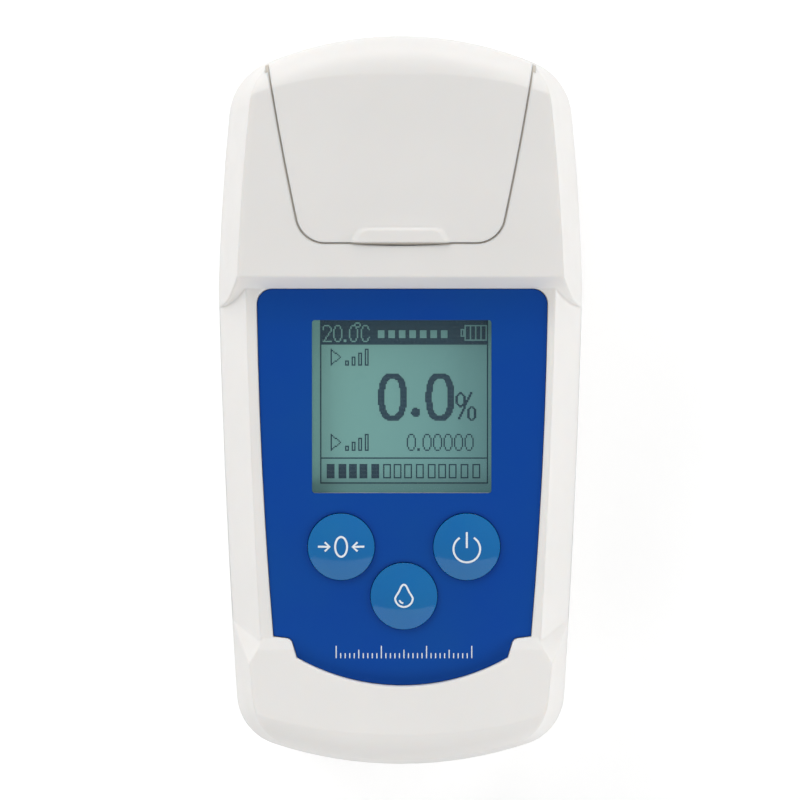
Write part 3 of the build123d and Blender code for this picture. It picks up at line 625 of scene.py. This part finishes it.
def lid_edge(last):
    """Points of the right half of the lid's edge, each with its way outwards."""
    low, high = 0.0, 0.5
    for _ in range(CORNER_HALVINGS):
        part = (low + high) / 2
        if corner_centre(part).y < LID_FRONT_Y + LID_CORNER:
            low = part
        else:
            high = part
    centre = corner_centre(low)
    out = lid_side_out(low)
    start, end = -math.pi / 2, math.atan2(out.y, out.x)
    edge = [(Vector((0, LID_FRONT_Y)), Vector((0, -1)))]
    for step in range(CORNER_STEPS + 1):
        turn = start + (end - start) * step / CORNER_STEPS
        away = Vector((math.cos(turn), math.sin(turn)))
        edge.append((centre + away * LID_CORNER, away))
    for step in range(1, SIDE_STEPS + 1):
        part = low + (last - low) * step / SIDE_STEPS
        edge.append((lid_side(part), lid_side_out(part)))
    return edge


def head_height(x, y):
    """Height of the head's face, which rounds off towards the lid end."""
    face = HEAD_FRONT_Z + (y - HEAD_FRONT_Y) * math.tan(HEAD_TILT)
    past = math.hypot(x, y - LID_END_CENTRE_Y) - (LID_END_REACH - LID_END_ROUND)
    if past > 0:
        fall = LID_END_ROUND - math.sqrt(LID_END_ROUND**2 - past**2)
        return min(face, HEAD_TOP_Z - fall)
    return face


def make_seam_shade_strip():
    """A strip on the pocket's wall whose brown-grey colour is painted shade of the lid's seam, so
    that the gap doesn't look bottomless.
    """
    right = lid_edge(SEAM_SHADE_END)
    left = [(Vector((-spot.x, spot.y)), Vector((-out.x, out.y))) for spot, out in right[:0:-1]]
    rows = []
    for spot, out in left + right:
        inner = spot + out * SEAM_SHADE_CLEAR
        outer = spot + out * SEAM_SHADE_REACH
        level = head_height(*outer) - SEAM_SHADE_SINK
        low = level - SEAM_SHADE_DEEP
        if spot.y > TROUGH_Y:
            # the pocket is wider here, over the trough of the hinge
            outer.x = math.copysign(TROUGH_HALF, spot.x)
            low = level - SEAM_SHADE_END_DEEP
        corners = (inner, level), (outer, level), (outer, low), (inner, low)
        rows.append([Vector((place.x, place.y, height)) * MM for place, height in corners])
    shape = bmesh.new()
    sweep(shape, rows)
    add_piece("lid_seam_shade_strip", shape, SEAM_SHADE, "body")


def join_all(tree, links):
    for start, end in links:
        tree.links.new(start, end)


def make_floor():
    """A grey floor with a glow that only the camera sees."""
    bpy.ops.mesh.primitive_plane_add(size=FLOOR_SIZE, location=(0, 0, -FLOOR_DROP))
    floor = bpy.context.object
    floor.name = "studio_floor"
    shader = Shader("studio_floor", (FLOOR_GREY,) * 3, 0.9, specular=0.0)
    tree = shader.tree
    glow = shader.node("ShaderNodeEmission", Strength=FLOOR_GLOW)
    black = shader.node("ShaderNodeEmission", Strength=0.0)
    path = tree.nodes.new("ShaderNodeLightPath")
    seen = tree.nodes.new("ShaderNodeMixShader")
    total = tree.nodes.new("ShaderNodeAddShader")
    join_all(
        tree,
        (
            (path.outputs["Is Camera Ray"], seen.inputs[0]),
            (black.outputs[0], seen.inputs[1]),
            (glow.outputs[0], seen.inputs[2]),
            (shader.surface.outputs[0], total.inputs[0]),
            (seen.outputs[0], total.inputs[1]),
            (total.outputs[0], tree.nodes["Material Output"].inputs["Surface"]),
        ),
    )
    floor.data.materials.append(shader.material)


def make_world():
    """White for the camera, in reflections and through glass; a weak light for the rest."""
    world = bpy.data.worlds.new("studio")
    bpy.context.scene.world = world
    world.use_nodes = True
    tree = world.node_tree
    ambient = tree.nodes["Background"]
    white = tree.nodes.new("ShaderNodeBackground")
    for background, strength in ((ambient, AMBIENT), (white, 1.0)):
        background.inputs["Color"].default_value = (1, 1, 1, 1)
        background.inputs["Strength"].default_value = strength
    rays = tree.nodes.new("ShaderNodeLightPath").outputs
    seen = rays["Is Camera Ray"]
    for kind in ("Is Glossy Ray", "Is Transmission Ray"):
        either = tree.nodes.new("ShaderNodeMath")
        either.operation = "MAXIMUM"
        join_all(tree, ((seen, either.inputs[0]), (rays[kind], either.inputs[1])))
        seen = either.outputs[0]
    mix = tree.nodes.new("ShaderNodeMixShader")
    join_all(
        tree,
        (
            (seen, mix.inputs[0]),
            (ambient.outputs[0], mix.inputs[1]),
            (white.outputs[0], mix.inputs[2]),
            (mix.outputs[0], tree.nodes["World Output"].inputs["Surface"]),
        ),
    )


def add_light(name, place, width, height, watts, mirrored=True):
    """An area lamp aimed at the object; one that isn't mirrored shows in no reflection."""
    data = bpy.data.lights.new(name, "AREA")
    data.shape = "RECTANGLE"
    data.size = width
    data.size_y = height
    data.energy = watts
    lamp = bpy.data.objects.new(name, data)
    bpy.context.scene.collection.objects.link(lamp)
    lamp.visible_glossy = mirrored
    lamp.location = place
    aim = Vector(LAMP_TARGET) - Vector(place)
    lamp.rotation_euler = aim.to_track_quat("-Z", "Y").to_euler()


def make_lights():
    add_light("lid_end_lamp", (0, 0.9, 0.35), 1.0, 0.5, 4.9)
    add_light("left_lamp", (-0.9, 0, 0.3), 1.0, 0.5, 2.85, mirrored=False)
    add_light("right_lamp", (0.9, 0, 0.3), 1.0, 0.5, 6.0, mirrored=False)
    add_light("key_end_lamp", (0, -0.74, 0.67), 1.9, 0.73, 7.5)
    add_light("corner_lamp", (-0.7, 0.7, 0.6), 0.7, 0.5, 4.8, mirrored=False)


def make_camera():
    """The photograph's camera, straight above the front."""
    data = bpy.data.cameras.new("view")
    data.sensor_width = SENSOR
    data.lens = SENSOR * CAMERA_DISTANCE / VIEW_WIDTH
    data.clip_start = CLIP_START
    data.clip_end = CLIP_END
    camera = bpy.data.objects.new("view", data)
    bpy.context.scene.collection.objects.link(camera)
    height = WIDEST_HEIGHT + CAMERA_DISTANCE
    camera.location = (VIEW_CENTER + Vector((0, 0, height))) * MM
    camera.rotation_euler = (0, 0, 0)
    bpy.context.scene.camera = camera


make_camera()
make_world()
make_lights()
make_floor()
make_display()
make_key_marks()
make_label_scale()
make_seam_shade_strip()

bpy.context.scene.view_settings.view_transform = "Standard"
